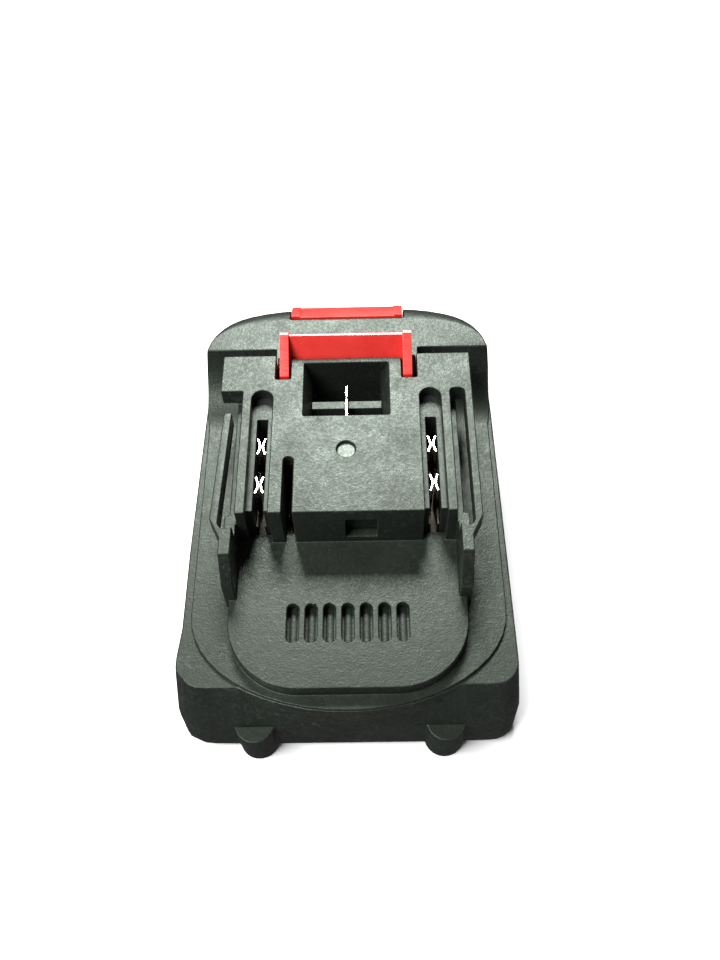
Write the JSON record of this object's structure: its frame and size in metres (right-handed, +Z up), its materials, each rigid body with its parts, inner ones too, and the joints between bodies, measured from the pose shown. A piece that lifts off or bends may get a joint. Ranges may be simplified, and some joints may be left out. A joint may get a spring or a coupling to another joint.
{
  "type": "power tool battery pack",
  "caption": "Slide-on rechargeable battery pack for a power tool: ribbed rail deck with terminal slots, vented ledge, and a spring-loaded hook latch with a rear release button.",
  "frame": {"origin": "centre of the bounding box at the resting face", "axes": "+Z up from the resting face, -Y towards the end that enters the tool, +Y towards the release button, X across the rails"},
  "size_m": [0.079, 0.114, 0.0515],
  "materials": {
    "case_plastic": "fine spark-eroded grain, dull",
    "red_plastic": "smooth, slightly worn",
    "inner_plastic": "moulded, satin",
    "contact_metal": "nickel-plated sheet",
    "spring_steel": "drawn wire",
    "board": "black solder mask",
    "component_plastic": "moulded epoxy",
    "screw_steel": "zinc-plated",
    "holder_plastic": "moulded, satin",
    "cell": "shrink sleeve over a steel can",
    "insulator_paper": "fish paper",
    "nickel": "rolled nickel strip",
    "foam": "closed-cell foam"
  },
  "bodies": {
    "pack": {"lower_case": "case_plastic", "upper_case": "case_plastic", "latch_spring_left": "spring_steel", "latch_spring_right": "spring_steel", "terminal_block": "inner_plastic", "positive_terminal": "contact_metal", "negative_terminal": "contact_metal", "data_contact": "contact_metal", "centre_blade": "contact_metal", "circuit_board": "board", "board_components": "component_plastic", "board_screws": "screw_steel", "cell_holder_left": "holder_plastic", "cell_holder_right": "holder_plastic", "cell_1": "cell", "cell_2": "cell", "cell_3": "cell", "cell_4": "cell", "cell_5": "cell", "cell_insulators": "insulator_paper", "cell_links_left": "nickel", "cell_links_right": "nickel", "temperature_sensor": "component_plastic", "foam_pads": "foam", "case_screws": "screw_steel"},
    "latch": {"latch_hook": "red_plastic", "release_button": "red_plastic"}
  },
  "joints": [
    {"name": "latch_slide", "type": "slide", "parent": "pack", "child": "latch", "axis": [0, 0, -1], "range_m": [0, 0.005], "stiffness_N_per_m": 1500, "springref_m": -0.003, "deforming": ["latch_spring_left", "latch_spring_right"]}
  ]
}
